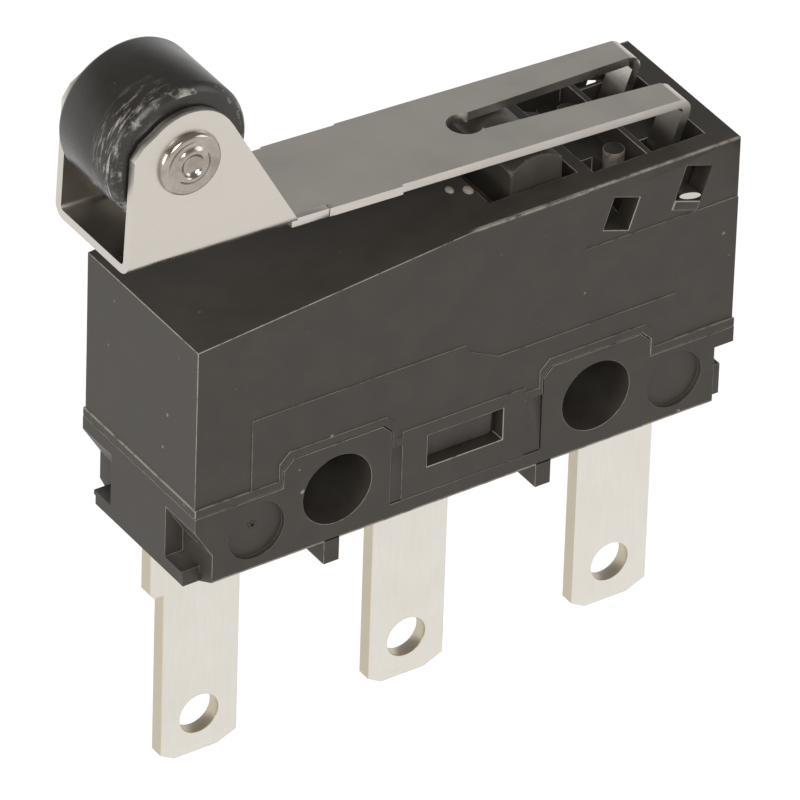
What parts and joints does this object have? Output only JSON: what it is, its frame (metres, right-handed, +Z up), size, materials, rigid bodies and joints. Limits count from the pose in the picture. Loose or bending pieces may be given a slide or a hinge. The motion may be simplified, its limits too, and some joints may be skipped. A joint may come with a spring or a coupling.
{
  "type": "lever micro switch",
  "caption": "Subminiature snap-action switch with a roller lever, a two-part moulded housing with mounting holes, and push-on tab terminals.",
  "frame": {"origin": "on the axis of the left mounting hole, halfway through the housing", "axes": "+X along the housing from the roller end to the lever's pivot, +Y through the housing along the mounting holes, +Z up, away from the terminals"},
  "size_m": [0.022, 0.0064, 0.0264],
  "materials": {
    "dark_plastic": "matte",
    "lever_steel": "brushed",
    "roller_plastic": "glossy",
    "rivet_metal": "polished",
    "terminal_plating": "plated",
    "contact_silver": "satin",
    "spring_copper": "satin"
  },
  "bodies": {
    "switch": {"housing_base": "dark_plastic", "housing_cap": "dark_plastic", "terminal_common": "terminal_plating", "terminal_normally_open": "terminal_plating", "terminal_normally_closed": "terminal_plating", "fixed_contact_open": "contact_silver", "fixed_contact_closed": "contact_silver"},
    "lever": {"roller_lever": "lever_steel", "roller_rivet": "rivet_metal"},
    "roller": {"roller": "roller_plastic"},
    "plunger": {"plunger": "dark_plastic"},
    "rocker": {"rocker": "lever_steel"},
    "blade": {"contact_arm": "spring_copper", "moving_contact": "contact_silver"},
    "spring": {"tension_spring": "lever_steel"}
  },
  "joints": [
    {"name": "lever_press", "type": "hinge", "parent": "switch", "child": "lever", "pos_m": [0.0128, 0, 0.00608], "axis": [0, -1, 0], "range_deg": [0, 7.5], "stiffness_Nm_per_rad": 0.02, "springref_deg": -9.74},
    {"name": "roller_spin", "type": "hinge", "parent": "lever", "child": "roller", "pos_m": [-0.00489, 0, 0.01309], "axis": [0, 1, 0], "continuous": true},
    {"name": "plunger_slide", "type": "slide", "parent": "switch", "child": "plunger", "axis": [0, 0, -1], "range_m": [0, 0.00066]},
    {"name": "rocker_turn", "type": "hinge", "parent": "switch", "child": "rocker", "pos_m": [0.01237, 0, 0.00476], "axis": [0, -1, 0], "range_deg": [0, 8.3]},
    {"name": "blade_snap", "type": "hinge", "parent": "switch", "child": "blade", "pos_m": [0.00822, 0, 0.00337], "axis": [0, -1, 0], "range_deg": [0, 2.65]},
    {"name": "spring_hook", "type": "hinge", "parent": "blade", "child": "spring", "pos_m": [0.0013, 0, 0.00337], "axis": [0, -1, 0], "range_deg": [-3, 0]}
  ],
  "couplings": [
    {"joint": "plunger_slide", "follows": "lever_press", "m_per_rad": 0.005},
    {"joint": "rocker_turn", "follows": "lever_press", "ratio": 1.085},
    {"joint": "blade_snap", "follows": "lever_press", "ratio": 0.345},
    {"joint": "spring_hook", "follows": "lever_press", "ratio": -0.38}
  ]
}
